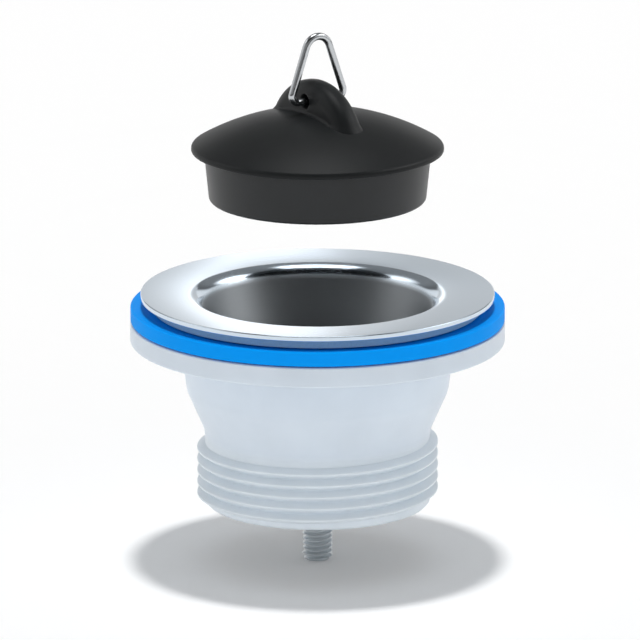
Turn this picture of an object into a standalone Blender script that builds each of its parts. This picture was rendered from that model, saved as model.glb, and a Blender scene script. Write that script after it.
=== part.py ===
# Sink drain fitting: a pressed steel dish, its seals, a plastic outlet body with a pipe thread,
# the centre screw and nut that clamp them to a sink, and a rubber plug with a wire link.
# Metres, +Z up. Z = 0 is the level where the rim of the steel dish meets the sink.
# The plug is shown lifted straight out of the dish, as it is drawn in a catalogue.

import math

import bmesh
import bpy
from mathutils import Matrix, Vector

# Fit between pieces that touch or are cut to one another
SEAT_GAP = 0.0003
OVERRUN = 0.002

# Roundness: facets round the large turned pieces, and round small ones
LARGE_FACETS = 48
SMALL_FACETS = 16
THREAD_FACETS = 12
BEND_FACETS = 4
EDGE_FACETS = 2

# Steel dish
SHEET = 0.0006
BOWL_RADIUS = 0.0228
BOWL_DEPTH = 0.0192
BOWL_CORNER = 0.0040
SHOULDER_BEND = 0.0030
RIM_WIDTH = 0.0092
RIM_RADIUS = BOWL_RADIUS + SHOULDER_BEND + RIM_WIDTH
RIM_HEIGHT = 0.00093
RIM_BEND = 0.0007
RIM_FALL = 0.00039
DRAIN_HOLES = 8
DRAIN_HOLE_RADIUS = 0.0025
DRAIN_CIRCLE_RADIUS = 0.0128

# Seal between the dish and the sink
TOP_SEAL_OVERHANG = 0.0022
TOP_SEAL_PLAY = 0.0004
TOP_SEAL_RADIUS = RIM_RADIUS - TOP_SEAL_OVERHANG
TOP_SEAL_BORE = BOWL_RADIUS + SHOULDER_BEND + TOP_SEAL_PLAY
TOP_SEAL_BASE_DEPTH = 0.00200

# Blue gasket between the sink and the outlet body
GASKET_LIP_PLAY = 0.0004
GASKET_LIP_WIDTH = 0.0038
GASKET_LIP_RISE = 0.00067
GASKET_THICKNESS = 0.00224
GASKET_BORE_PLAY = 0.0016
GASKET_EDGE = 0.0003
GASKET_SEAT_DEPTH = TOP_SEAL_BASE_DEPTH + SEAT_GAP
GASKET_LIP_BORE = TOP_SEAL_RADIUS + GASKET_LIP_PLAY
GASKET_RADIUS = GASKET_LIP_BORE + GASKET_LIP_WIDTH
GASKET_BORE = BOWL_RADIUS + SHEET + GASKET_BORE_PLAY

# Pipe thread G 1 1/2 on the outlet body; its depth and crest are shares of the pitch
PIPE_CREST_RADIUS = 0.0239
PIPE_PITCH = 0.002309
PIPE_DEPTH_SHARE = 0.693
PIPE_CREST_SHARE = 0.165
PIPE_FLANK_ANGLE = math.radians(27.5)
PIPE_TURNS = 5
PIPE_LEAD = 0.0011
PIPE_PLAIN_END = 0.001255
PIPE_START_ANGLE = math.radians(60)
PIPE_RUNOUT_TURNS = 0.15
PIPE_ROOT_RADIUS = PIPE_CREST_RADIUS - PIPE_DEPTH_SHARE * PIPE_PITCH

# Outlet body, from its flange down
FLANGE_MARGIN = 0.00005
FLANGE_THICKNESS = 0.00400
FLANGE_EDGE = 0.0004
CUP_PLAY = 0.0007
CUP_BASE_PLAY = 0.0003
CUP_WALL = 0.0031
CUP_BASE_WALL = 0.0022
CUP_SHORTFALL = 0.00113
CONE_HEIGHT = 0.00803
NECK_MARGIN = 0.0001
NECK_HEIGHT = 0.0011
OUTLET_WALL = 0.0027
FLANGE_RADIUS = GASKET_RADIUS + FLANGE_MARGIN
FLANGE_TOP_DEPTH = GASKET_SEAT_DEPTH + GASKET_THICKNESS + SEAT_GAP
FLANGE_BASE_DEPTH = FLANGE_TOP_DEPTH + FLANGE_THICKNESS
CUP_BORE = BOWL_RADIUS + SHEET + CUP_PLAY
CUP_BORE_BASE = BOWL_RADIUS + SHEET + CUP_BASE_PLAY
CUP_BASE_DEPTH = BOWL_DEPTH + SHEET - CUP_SHORTFALL
NECK_RADIUS = PIPE_ROOT_RADIUS + NECK_MARGIN
NECK_DEPTH = CUP_BASE_DEPTH + CONE_HEIGHT
NECK_END_DEPTH = NECK_DEPTH + NECK_HEIGHT
PIPE_START_DEPTH = NECK_END_DEPTH + PIPE_LEAD
BODY_BASE_DEPTH = PIPE_START_DEPTH + PIPE_TURNS * PIPE_PITCH + PIPE_PLAIN_END
OUTLET_BORE = PIPE_ROOT_RADIUS - OUTLET_WALL

# M6 screw, whose head sits in the dish, and its nut
HEAD_PROUD = 0.00033
HEAD_RADIUS = 0.00565
HEAD_RAISE = 0.0006
HEAD_EDGE = 0.00025
SCREW_LENGTH = 0.0350
SCREW_CREST_RADIUS = 0.00295
SCREW_PITCH = 0.0010
SCREW_DEPTH_SHARE = 0.55
SCREW_POINT_TURNS = 0.8
SCREW_ROOT_RADIUS = SCREW_CREST_RADIUS - SCREW_DEPTH_SHARE * SCREW_PITCH
SCREW_TOP = HEAD_PROUD - BOWL_DEPTH
SCREW_END = SCREW_TOP - SCREW_LENGTH
SLOT_WIDTH = 0.0016
SLOT_DEPTH = 0.0016
NUT_FLATS = 0.0100
NUT_THICKNESS = 0.0050

# Spider inside the outlet body, which carries the nut; it stands up from the body's end
BOSS_RECESS = 0.0027
BOSS_HEIGHT = 0.0100
BOSS_WALL = 0.00168
RIB_RECESS = 0.0033
RIB_HEIGHT = 0.0084
RIB_THICKNESS = 0.0025
RIB_BITE = 0.0010
NUT_RECESS = 0.0004
BOSS_BASE = BOSS_RECESS - BODY_BASE_DEPTH
RIB_BASE = RIB_RECESS - BODY_BASE_DEPTH
NUT_BASE = BOSS_BASE + NUT_RECESS
POCKET_RADIUS = (NUT_FLATS / 2 + SEAT_GAP) / math.cos(math.pi / 6)
BOSS_RADIUS = POCKET_RADIUS + BOSS_WALL

# Rubber plug; heights are counted from the widest level of its brim
PLUG_LIFT = 0.0291
BRIM_REACH = 0.0021
BRIM_EDGE = 0.0009
BRIM_UNDER_EDGE = 0.0004
BRIM_DROP = 0.0005
DOME_BEND = 0.0480
DOME_WALL = 0.0040
SKIRT_PLAY = 0.00072
SKIRT_TAPER_SHARE = 0.1
SKIRT_DROP = 0.0104
SKIRT_EDGE = 0.0008
SKIRT_WALL = 0.0036
PLUG_RADIUS = BOWL_RADIUS + BRIM_REACH
DOME_CENTRE = -math.sqrt((DOME_BEND - BRIM_EDGE) ** 2 - (PLUG_RADIUS - BRIM_EDGE) ** 2)
DOME_RISE = DOME_CENTRE + DOME_BEND

# Lug on the plug: the top of a disc with a rounded rim
LUG_THICKNESS = 0.0060
LUG_BEND = 0.0150
LUG_STAND = 0.00618
LUG_ROUNDING = 0.0028
LUG_ROOT = 0.00083
LUG_EYE_WALL = 0.00395
LUG_RISE = DOME_RISE + LUG_STAND
LUG_FOOT_RISE = DOME_RISE - DOME_WALL + LUG_ROOT
LUG_HOLE_RISE = LUG_RISE - LUG_EYE_WALL

# Wire link in the lug
WIRE_RADIUS = 0.00075
LINK_PLAY = 0.00065
LINK_SIDE_ROOM = 0.0029
LINK_LOOP = 0.0088
LINK_CORNER = 0.0014
LINK_APEX_RADIUS = 0.0028
LINK_END_GAP = 0.0008
LINK_HEIGHT = LUG_EYE_WALL + LINK_LOOP
LINK_HALF_WIDTH = LUG_THICKNESS / 2 + LINK_SIDE_ROOM
LUG_HOLE_RADIUS = WIRE_RADIUS + LINK_PLAY


def clear_scene():
    for old in list(bpy.data.objects):
        bpy.data.objects.remove(old, do_unlink=True)


def new_collection(name):
    collection = bpy.data.collections.new(name)
    bpy.context.scene.collection.children.link(collection)
    return collection


def finish(name, colour, roughness, metallic):
    material = bpy.data.materials.new(name)
    material.use_nodes = True
    shader = material.node_tree.nodes["Principled BSDF"]
    shader.inputs["Base Color"].default_value = (*colour, 1.0)
    shader.inputs["Roughness"].default_value = roughness
    shader.inputs["Metallic"].default_value = metallic
    return material


clear_scene()
PARTS = new_collection("sink_drain_fitting")
CUTTERS = new_collection("cutters")

# Finishes
STEEL = finish("polished_stainless_steel", (0.72, 0.74, 0.76), 0.18, 1.0)
SCREW_STEEL = finish("stainless_screw_steel", (0.55, 0.57, 0.59), 0.30, 1.0)
BRASS = finish("machined_brass", (0.66, 0.47, 0.19), 0.32, 1.0)
GREY_FOAM = finish("closed_cell_foam", (0.29, 0.47, 0.60), 0.90, 0.0)
BLUE_RUBBER = finish("blue_rubber", (0.0, 0.32, 0.95), 0.55, 0.0)
WHITE_PLASTIC = finish("natural_polypropylene", (0.66, 0.72, 0.78), 0.42, 0.0)
BLACK_RUBBER = finish("black_rubber", (0.018, 0.019, 0.020), 0.42, 0.0)
WIRE_STEEL = finish("bright_wire", (0.66, 0.67, 0.68), 0.15, 1.0)


def place(mesh, name, material, collection=PARTS, at=(0.0, 0.0, 0.0)):
    """Make an object from a mesh, shade it and put it in its collection."""
    thing = bpy.data.objects.new(name, mesh)
    collection.objects.link(thing)
    thing.location = at
    if material:
        mesh.materials.append(material)
    if collection is CUTTERS:
        thing.hide_render = True
        thing.display_type = "WIRE"
    return thing


def applied(thing):
    """Replace an object's mesh by what its modifiers make of it."""
    bpy.context.view_layer.update()
    evaluated = thing.evaluated_get(bpy.context.evaluated_depsgraph_get())
    mesh = bpy.data.meshes.new_from_object(evaluated)
    thing.modifiers.clear()
    thing.data = mesh
    return thing


def smooth(thing, degrees=35):
    thing.data.shade_smooth()
    thing.data.set_sharp_from_angle(angle=math.radians(degrees))
    return thing


def arc(centre, radius, start, end, facets=BEND_FACETS):
    """Points round a centre, from one angle to another in degrees, counted from +X towards +Z."""
    points = []
    for step in range(facets + 1):
        angle = math.radians(start + (end - start) * step / facets)
        points.append((centre[0] + radius * math.cos(angle), centre[1] + radius * math.sin(angle)))
    return points


def turned(name, outline, material, collection=PARTS, closed=False, facets=LARGE_FACETS, at=0.0):
    """A profile of radius and height spun about Z; its outer side runs from top to bottom."""
    mesh = bpy.data.meshes.new(name)
    edges = [(step, step + 1) for step in range(len(outline) - 1)]
    if closed:
        edges.append((len(outline) - 1, 0))
    mesh.from_pydata([(radius, 0.0, height) for radius, height in outline], edges, [])
    thing = place(mesh, name, material, collection, (0.0, 0.0, at))
    screw = thing.modifiers.new("turn", "SCREW")
    screw.axis = "Z"
    screw.steps = facets
    screw.render_steps = facets
    screw.use_merge_vertices = True
    screw.merge_threshold = SEAT_GAP / 100
    return thing


def combine(thing, other, operation):
    """Cut, join or keep the common part of two solids; the second one is a hidden guide."""
    boolean = thing.modifiers.new(operation.lower(), "BOOLEAN")
    boolean.operation = operation
    boolean.solver = "EXACT"
    boolean.object = other
    return thing


def cylinders(name, spots, radius, low, high, facets, material=None, collection=CUTTERS):
    """Upright cylinders or prisms in one mesh, one at each spot."""
    mesh = bpy.data.meshes.new(name)
    form = bmesh.new()
    for x, y in spots:
        bmesh.ops.create_cone(
            form, cap_ends=True, segments=facets, radius1=radius, radius2=radius,
            depth=high - low, matrix=Matrix.Translation((x, y, (low + high) / 2)))
    form.to_mesh(mesh)
    form.free()
    return place(mesh, name, material, collection)


def block(name, size, centre):
    """A box guide of a given size."""
    mesh = bpy.data.meshes.new(name)
    form = bmesh.new()
    where = Matrix.Translation(centre) @ Matrix.Diagonal((*size, 1.0))
    bmesh.ops.create_cube(form, size=1.0, matrix=where)
    form.to_mesh(mesh)
    form.free()
    return place(mesh, name, None, CUTTERS)


def threaded_rod(name, root, crest, pitch, tooth, start, turns, runout, top, base, facets, turn):
    """A solid rod with a right-hand thread by formula.

    tooth lists (distance down from the tooth's top, radius share from root 0 to crest 1) for one
    pitch. start is the height of the first crest, and the thread fades over the runout at each end.
    """
    mesh = bpy.data.meshes.new(name)
    spare = math.ceil(max(top - start, start - turns * pitch - base) / pitch) + 1
    heights = [(start + spare * pitch - drop, share) for drop, share in tooth]
    points = [(root + share * (crest - root), 0.0, height) for height, share in heights]
    points.append((points[0][0], 0.0, points[0][2] - pitch))
    mesh.from_pydata(points, [(step, step + 1) for step in range(len(points) - 1)], [])
    thing = place(mesh, name, None, CUTTERS)
    thing.rotation_euler.z = turn
    screw = thing.modifiers.new("thread", "SCREW")
    screw.axis = "Z"
    screw.angle = -math.tau
    screw.screw_offset = -pitch
    screw.iterations = turns + 2 * spare
    screw.steps = facets
    screw.render_steps = facets
    screw.use_merge_vertices = True
    screw.merge_threshold = SEAT_GAP / 100
    applied(thing)

    form = bmesh.new()
    form.from_mesh(thing.data)
    bmesh.ops.remove_doubles(form, verts=form.verts[:], dist=SEAT_GAP / 100)
    for vertex in form.verts:
        radius = math.hypot(vertex.co.x, vertex.co.y)
        done = (start - vertex.co.z) / pitch
        share = min(done, turns - done) / runout
        share = min(max(share, 0.0), 1.0)
        wanted = root + max(radius - root, 0.0) * share
        vertex.co.x *= wanted / radius
        vertex.co.y *= wanted / radius
    for height, normal in ((top, (0.0, 0.0, 1.0)), (base, (0.0, 0.0, -1.0))):
        everything = form.verts[:] + form.edges[:] + form.faces[:]
        bmesh.ops.bisect_plane(
            form, geom=everything, plane_co=(0.0, 0.0, height), plane_no=normal,
            clear_outer=True, dist=SEAT_GAP / 1000)
    bmesh.ops.holes_fill(form, edges=[edge for edge in form.edges if edge.is_boundary])
    bmesh.ops.recalc_face_normals(form, faces=form.faces[:])
    form.to_mesh(thing.data)
    form.free()
    return thing


def dish_surface(radius):
    """Height of the dish's upper face on the part that falls towards the bowl."""
    run = RIM_WIDTH - RIM_BEND
    return RIM_HEIGHT - RIM_FALL * (RIM_RADIUS - RIM_BEND - radius) / run


def strainer_dish():
    """Steel sheet pressed into a rim, a rounded shoulder, a bowl and a dimple for the screw head."""
    shoulder = (BOWL_RADIUS + SHOULDER_BEND, dish_surface(BOWL_RADIUS + SHOULDER_BEND) - SHOULDER_BEND)
    corner = (BOWL_RADIUS - BOWL_CORNER, BOWL_CORNER - BOWL_DEPTH)
    dimple_radius = HEAD_RADIUS - (HEAD_PROUD - HEAD_EDGE) + SEAT_GAP * math.sqrt(2)
    hole_radius = SCREW_CREST_RADIUS + 2 * SEAT_GAP
    outline = [(RIM_RADIUS, 0.0)]
    outline += arc((RIM_RADIUS - RIM_BEND, RIM_HEIGHT - RIM_BEND), RIM_BEND, 0, 90, EDGE_FACETS)
    outline += arc(shoulder, SHOULDER_BEND, 90, 180)
    outline += arc(corner, BOWL_CORNER, 360, 270, BEND_FACETS - 1)
    outline += [
        (dimple_radius, -BOWL_DEPTH),
        (hole_radius, -BOWL_DEPTH - (dimple_radius - hole_radius))]
    outline.reverse()
    dish = turned("strainer_dish", outline, STEEL)
    wall = dish.modifiers.new("sheet", "SOLIDIFY")
    wall.thickness = SHEET
    wall.offset = -1.0
    wall.use_even_offset = True
    spots = []
    for hole in range(DRAIN_HOLES):
        angle = math.tau * (hole + 0.5) / DRAIN_HOLES
        spots.append((DRAIN_CIRCLE_RADIUS * math.cos(angle), DRAIN_CIRCLE_RADIUS * math.sin(angle)))
    drill = cylinders(
        "drain_hole_drill", spots, DRAIN_HOLE_RADIUS, -BOWL_DEPTH - OVERRUN, OVERRUN - BOWL_DEPTH,
        SMALL_FACETS)
    return combine(dish, drill, "DIFFERENCE")


def top_seal():
    """Soft blue-grey foam ring that follows the underside of the dish's rim."""
    outline = [
        (TOP_SEAL_BORE, dish_surface(TOP_SEAL_BORE) - SHEET - SEAT_GAP),
        (TOP_SEAL_RADIUS, dish_surface(TOP_SEAL_RADIUS) - SHEET - SEAT_GAP),
        (TOP_SEAL_RADIUS, -TOP_SEAL_BASE_DEPTH),
        (TOP_SEAL_BORE, -TOP_SEAL_BASE_DEPTH)]
    return turned("top_seal", outline, GREY_FOAM, closed=True)


def rim_gasket():
    """Blue rubber ring with a raised outer lip, on the body's flange."""
    seat = -GASKET_SEAT_DEPTH
    base = seat - GASKET_THICKNESS
    lip = (GASKET_RADIUS - GASKET_EDGE, seat + GASKET_LIP_RISE - GASKET_EDGE)
    outline = [(GASKET_BORE, seat), (GASKET_LIP_BORE, seat)]
    outline += arc(lip, GASKET_EDGE, 90, 0, EDGE_FACETS)
    outline += [(GASKET_RADIUS, base), (GASKET_BORE, base)]
    return turned("rim_gasket", outline, BLUE_RUBBER, closed=True)


def outlet_body():
    """Moulded body: flange, cup, cone and threaded outlet, bored through, with a ribbed spider."""
    flange_top = -FLANGE_TOP_DEPTH
    outline = [(0.0, flange_top)]
    side = FLANGE_RADIUS - FLANGE_EDGE
    outline += arc((side, flange_top - FLANGE_EDGE), FLANGE_EDGE, 90, 0, EDGE_FACETS)
    outline += arc((side, FLANGE_EDGE - FLANGE_BASE_DEPTH), FLANGE_EDGE, 0, -90, EDGE_FACETS)
    outline += [
        (CUP_BORE + CUP_WALL, -FLANGE_BASE_DEPTH),
        (CUP_BORE_BASE + CUP_BASE_WALL, -CUP_BASE_DEPTH),
        (NECK_RADIUS, -NECK_DEPTH),
        (NECK_RADIUS, -NECK_END_DEPTH),
        (0.0, -NECK_END_DEPTH)]
    body = turned("outlet_body", outline, WHITE_PLASTIC)

    flank = (PIPE_CREST_RADIUS - PIPE_ROOT_RADIUS) * math.tan(PIPE_FLANK_ANGLE)
    half_crest = PIPE_CREST_SHARE * PIPE_PITCH / 2
    tooth = [(-half_crest - flank, 0.0), (-half_crest, 1.0), (half_crest, 1.0), (half_crest + flank, 0.0)]
    thread = threaded_rod(
        "pipe_thread", PIPE_ROOT_RADIUS, PIPE_CREST_RADIUS, PIPE_PITCH, tooth, -PIPE_START_DEPTH,
        PIPE_TURNS, PIPE_RUNOUT_TURNS, -NECK_DEPTH, -BODY_BASE_DEPTH, LARGE_FACETS,
        PIPE_START_ANGLE)
    combine(body, thread, "UNION")

    bore = turned("bore_cutter", [
        (0.0, flange_top + OVERRUN),
        (CUP_BORE, flange_top + OVERRUN),
        (CUP_BORE_BASE, -CUP_BASE_DEPTH),
        (OUTLET_BORE, -NECK_DEPTH),
        (OUTLET_BORE, -BODY_BASE_DEPTH - OVERRUN),
        (0.0, -BODY_BASE_DEPTH - OVERRUN)], None, CUTTERS)
    combine(body, bore, "DIFFERENCE")

    rib_length = 2 * (OUTLET_BORE + RIB_BITE)
    rib_centre = (0.0, 0.0, RIB_BASE + RIB_HEIGHT / 2)
    combine(body, block("rib_across", (rib_length, RIB_THICKNESS, RIB_HEIGHT), rib_centre), "UNION")
    combine(body, block("rib_along", (RIB_THICKNESS, rib_length, RIB_HEIGHT), rib_centre), "UNION")
    boss_top = BOSS_BASE + BOSS_HEIGHT
    boss = cylinders("boss", [(0.0, 0.0)], BOSS_RADIUS, BOSS_BASE, boss_top, 2 * SMALL_FACETS)
    combine(body, boss, "UNION")
    screw_way = cylinders(
        "screw_way", [(0.0, 0.0)], SCREW_CREST_RADIUS + SEAT_GAP, BOSS_BASE - OVERRUN,
        boss_top + OVERRUN, SMALL_FACETS)
    combine(body, screw_way, "DIFFERENCE")
    pocket = cylinders(
        "nut_pocket", [(0.0, 0.0)], POCKET_RADIUS, BOSS_BASE - OVERRUN,
        NUT_BASE + NUT_THICKNESS + SEAT_GAP, 6)
    combine(body, pocket, "DIFFERENCE")
    return body


def captive_nut():
    """Hexagonal nut, held in the pocket under the boss."""
    top = NUT_BASE + NUT_THICKNESS
    corner_radius = NUT_FLATS / 2 / math.cos(math.pi / 6)
    nut = cylinders("captive_nut", [(0.0, 0.0)], corner_radius, NUT_BASE, top, 6, BRASS, PARTS)
    hole = cylinders(
        "nut_bore", [(0.0, 0.0)], SCREW_CREST_RADIUS + SEAT_GAP, NUT_BASE - OVERRUN,
        top + OVERRUN, SMALL_FACETS)
    return combine(nut, hole, "DIFFERENCE")


def centre_screw():
    """M6 screw with a slotted, raised countersunk head, threaded to the head."""
    cone_top = SCREW_TOP - HEAD_EDGE
    crown_radius = (HEAD_RADIUS ** 2 + HEAD_RAISE ** 2) / (2 * HEAD_RAISE)
    half_span = math.degrees(math.asin(HEAD_RADIUS / crown_radius))
    outline = arc((0.0, SCREW_TOP + HEAD_RAISE - crown_radius), crown_radius, 90, 90 - half_span)
    shank_top = cone_top - (HEAD_RADIUS - SCREW_CREST_RADIUS)
    core = SCREW_ROOT_RADIUS - SEAT_GAP
    outline += [
        (HEAD_RADIUS, cone_top),
        (SCREW_CREST_RADIUS, shank_top),
        (core, shank_top - (SCREW_CREST_RADIUS - core)),
        (0.0, shank_top - (SCREW_CREST_RADIUS - core))]
    screw = turned("centre_screw", outline, SCREW_STEEL, facets=2 * SMALL_FACETS)
    tooth = [(-SCREW_PITCH / 2, 0.0), (0.0, 1.0)]
    turns = math.floor((shank_top - SCREW_END) / SCREW_PITCH)
    thread = threaded_rod(
        "screw_thread", SCREW_ROOT_RADIUS, SCREW_CREST_RADIUS, SCREW_PITCH, tooth,
        SCREW_END + turns * SCREW_PITCH, turns, SCREW_POINT_TURNS, shank_top, SCREW_END,
        THREAD_FACETS, 0.0)
    combine(screw, thread, "UNION")
    slot_floor = SCREW_TOP + HEAD_RAISE - SLOT_DEPTH
    slot = block(
        "slot_cutter", (2 * (HEAD_RADIUS + OVERRUN), SLOT_WIDTH, SLOT_DEPTH + OVERRUN),
        (0.0, 0.0, slot_floor + (SLOT_DEPTH + OVERRUN) / 2))
    return combine(screw, slot, "DIFFERENCE")


def plug_rest_height():
    """Height of the plug's brim edge when the brim's lower edge is seated on the dish's shoulder."""
    shoulder_radius = BOWL_RADIUS + SHOULDER_BEND
    shoulder_height = dish_surface(max(shoulder_radius, PLUG_RADIUS)) - SHOULDER_BEND
    inward = max(shoulder_radius - (PLUG_RADIUS - BRIM_UNDER_EDGE), 0.0)
    reach = SHOULDER_BEND + SEAT_GAP + BRIM_UNDER_EDGE
    return shoulder_height + math.sqrt(reach ** 2 - inward ** 2) + BRIM_DROP - BRIM_UNDER_EDGE


def lug_blank(name):
    """The upper part of an upright disc with a full round rim, its foot inside the dome's wall."""
    mesh = bpy.data.meshes.new(name)
    form = bmesh.new()
    bmesh.ops.create_cone(
        form, cap_ends=True, segments=LARGE_FACETS, radius1=LUG_BEND, radius2=LUG_BEND,
        depth=LUG_THICKNESS, matrix=Matrix.Rotation(math.pi / 2, 4, "Y"))
    rims = [edge for edge in form.edges if abs(edge.verts[0].co.x - edge.verts[1].co.x) < SEAT_GAP]
    bmesh.ops.bevel(
        form, geom=rims, offset=LUG_ROUNDING, offset_type="OFFSET", segments=BEND_FACETS - 1,
        profile=0.5, affect="EDGES", clamp_overlap=True)
    bmesh.ops.translate(form, vec=(0.0, 0.0, LUG_RISE - LUG_BEND), verts=form.verts[:])
    bmesh.ops.bisect_plane(
        form, geom=form.verts[:] + form.edges[:] + form.faces[:], plane_co=(0.0, 0.0, LUG_FOOT_RISE),
        plane_no=(0.0, 0.0, -1.0), clear_outer=True)
    bmesh.ops.holes_fill(form, edges=[edge for edge in form.edges if edge.is_boundary])
    bmesh.ops.recalc_face_normals(form, faces=form.faces[:])
    form.to_mesh(mesh)
    form.free()
    return place(mesh, name, None, CUTTERS)


def plug():
    """Rubber plug: shallow dome, brim, tapered skirt and a hollow underside, with a lug on top."""
    edge = (PLUG_RADIUS - BRIM_EDGE, 0.0)
    dome_centre = (0.0, DOME_CENTRE)
    dome_end = math.degrees(math.atan2(-DOME_CENTRE, edge[0]))
    under = (PLUG_RADIUS - BRIM_UNDER_EDGE, BRIM_UNDER_EDGE - BRIM_DROP)
    skirt_top = BOWL_RADIUS - SKIRT_PLAY + SKIRT_TAPER_SHARE * SHOULDER_BEND
    skirt_base = skirt_top - SKIRT_TAPER_SHARE * (SKIRT_DROP - BRIM_DROP)
    skirt_foot = (skirt_base - SKIRT_EDGE, SKIRT_EDGE - SKIRT_DROP)
    hollow = skirt_base - SKIRT_WALL
    roof_bend = DOME_BEND - DOME_WALL
    roof_end = math.degrees(math.acos(hollow / roof_bend))
    outline = arc(dome_centre, DOME_BEND, 90, dome_end, 2 * BEND_FACETS)
    outline += arc(edge, BRIM_EDGE, dome_end, 0, EDGE_FACETS)[1:]
    outline += arc(under, BRIM_UNDER_EDGE, 0, -90, EDGE_FACETS)
    outline += [(skirt_top, -BRIM_DROP)]
    outline += arc(skirt_foot, SKIRT_EDGE, 0, -90, EDGE_FACETS)
    outline += [(hollow, -SKIRT_DROP)]
    outline += arc(dome_centre, roof_bend, roof_end, 90)
    body = turned("plug", outline, BLACK_RUBBER)
    lug = lug_blank("lug")
    combine(body, lug, "UNION")
    hole = cylinders(
        "lug_hole", [(0.0, 0.0)], LUG_HOLE_RADIUS, -LUG_THICKNESS, LUG_THICKNESS, SMALL_FACETS)
    hole.rotation_euler.y = math.pi / 2
    hole.location.z = LUG_HOLE_RISE
    combine(body, hole, "DIFFERENCE")
    for guide in (lug, hole):
        guide.parent = body
    body.location.z = plug_rest_height() + PLUG_LIFT
    return body


def link_route():
    """Centre line of the link: a triangle whose two ends meet in the lug's hole."""
    apex = (0.0, LINK_HEIGHT - LINK_APEX_RADIUS)
    corner = (LINK_HALF_WIDTH - LINK_CORNER, LINK_CORNER)
    reach = Vector((apex[0] - corner[0], apex[1] - corner[1]))
    leg_normal = math.atan2(reach.y, reach.x) - math.acos((LINK_CORNER - LINK_APEX_RADIUS) / reach.length)
    leg = math.degrees(leg_normal)
    right = [(LINK_END_GAP / 2, 0.0)]
    right += arc(corner, LINK_CORNER, -90, leg)
    right += arc(apex, LINK_APEX_RADIUS, leg, 90)
    left = [(-x, z) for x, z in reversed(right[:-1])]
    return right + left


def plug_link(plug_object):
    """Bright wire bent to a triangle, hung in the lug; its origin is on the hinge axis."""
    curve = bpy.data.curves.new("plug_link", "CURVE")
    curve.dimensions = "3D"
    curve.bevel_depth = WIRE_RADIUS
    curve.bevel_resolution = 2
    curve.use_fill_caps = True
    route = link_route()
    spline = curve.splines.new("POLY")
    spline.points.add(len(route) - 1)
    for point, (x, z) in zip(spline.points, route):
        point.co = (x, 0.0, z, 1.0)
    curve.materials.append(WIRE_STEEL)
    link = bpy.data.objects.new("plug_link", curve)
    PARTS.objects.link(link)
    link.parent = plug_object
    link.location.z = LUG_HOLE_RISE
    return link


def build():
    pieces = [strainer_dish(), top_seal(), rim_gasket(), outlet_body(), captive_nut(), centre_screw()]
    stopper = plug()
    pieces.append(stopper)
    for piece in pieces:
        smooth(applied(piece))
    plug_link(stopper)
    bpy.context.view_layer.update()


build()
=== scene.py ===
import math

import bmesh
import bpy
from bmesh.types import BMEdge, BMVert
from mathutils import Matrix, Vector


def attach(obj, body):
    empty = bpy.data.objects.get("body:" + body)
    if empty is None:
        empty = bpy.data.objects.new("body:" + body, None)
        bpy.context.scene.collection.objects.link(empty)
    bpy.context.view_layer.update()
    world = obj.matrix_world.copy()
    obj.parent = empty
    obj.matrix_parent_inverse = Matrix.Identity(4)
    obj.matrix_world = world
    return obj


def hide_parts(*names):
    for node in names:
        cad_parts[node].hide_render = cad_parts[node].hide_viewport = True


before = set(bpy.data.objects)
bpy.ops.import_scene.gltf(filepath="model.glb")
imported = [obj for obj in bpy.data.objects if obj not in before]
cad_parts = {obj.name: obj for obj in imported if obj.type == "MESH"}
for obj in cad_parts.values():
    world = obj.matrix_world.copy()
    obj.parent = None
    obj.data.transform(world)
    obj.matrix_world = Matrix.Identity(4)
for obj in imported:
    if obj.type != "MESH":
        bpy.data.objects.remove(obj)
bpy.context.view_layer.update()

# OUTLET BODY
# One injection moulding in natural, milky polypropylene: flange, drafted cup, cone, and the spigot
# with its G 1 1/2 pipe thread. Inside, four ribs carry a boss with a six-sided pocket for the nut.
# The walls are turned from one profile, and the thread is a tooth swept down a helix and bridged in.

# Sizes are in millimetres. ROUND is the facets of a full circle, BEND those of a rounded corner, SAME how
# near two points are merged, and SEAM the gap that is left for a bridge.
MM = 0.001
ROUND, BEND, SAME, SEAM = 144, 6, 0.002, 0.1

FLANGE_RADIUS, FLANGE_TOP, FLANGE_BASE = 37.05, -4.84, -8.84
CUP_RADIUS, CUP_BORE = 27.2, 24.1
CUP_BASE, CUP_BASE_RADIUS, CUP_BASE_BORE = -18.67, 25.9, 23.7
NECK_RADIUS, NECK_TOP, NECK_END = 22.4, -26.7, -27.8
SPIGOT_BORE, BODY_END = 19.6, -41.7
PIPE_CREST, PIPE_ROOT, PIPE_PITCH = 23.9, 22.3, 2.309
PIPE_HALF_CREST, PIPE_HALF_TOOTH, PIPE_CHAMFER = 0.19, 1.023, 0.4
PIPE_START, PIPE_TURNS, PIPE_RUNOUT = -28.9, 5, 0.15
PIPE_START_ANGLE = math.radians(60)

BOSS_RADIUS, BOSS_BASE, BOSS_TOP = 7.8, -39.0, -29.0
POCKET_RADIUS, POCKET_TOP, SCREW_WAY = 6.12, -33.3, 3.25
RIBS, RIB_THICKNESS, RIB_BASE, RIB_TOP, RIB_EDGE, RIB_SUNK = 4, 2.5, -38.4, -30.0, 0.3, 0.6


def colour(code):
    """An sRGB hex colour as the linear values that a shader takes."""
    shares = [int(code[step:step + 2], 16) / 255 for step in (1, 3, 5)]
    return (*[part / 12.92 if part <= 0.04045 else ((part + 0.055) / 1.055) ** 2.4 for part in shares], 1.0)


def give(tree, node, entries):
    """Give each entry named of a node a value or a link."""
    for entry, value in dict(entries).items():
        if isinstance(value, bpy.types.NodeSocket):
            tree.links.new(value, node.inputs[entry])
        else:
            node.inputs[entry].default_value = value


def add(tree, kind, entries=(), stops=(), **options):
    """Add a node with its options, a ramp's stops of place and colour, and its entries."""
    node = tree.nodes.new("ShaderNode" + kind)
    for option, value in options.items():
        setattr(node, option, value)
    for number, (at, shade) in enumerate(stops):
        marks = node.color_ramp.elements
        mark = marks[number] if number < len(marks) else marks.new(at)
        mark.position, mark.color = at, shade
    give(tree, node, entries)
    return node


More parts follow.
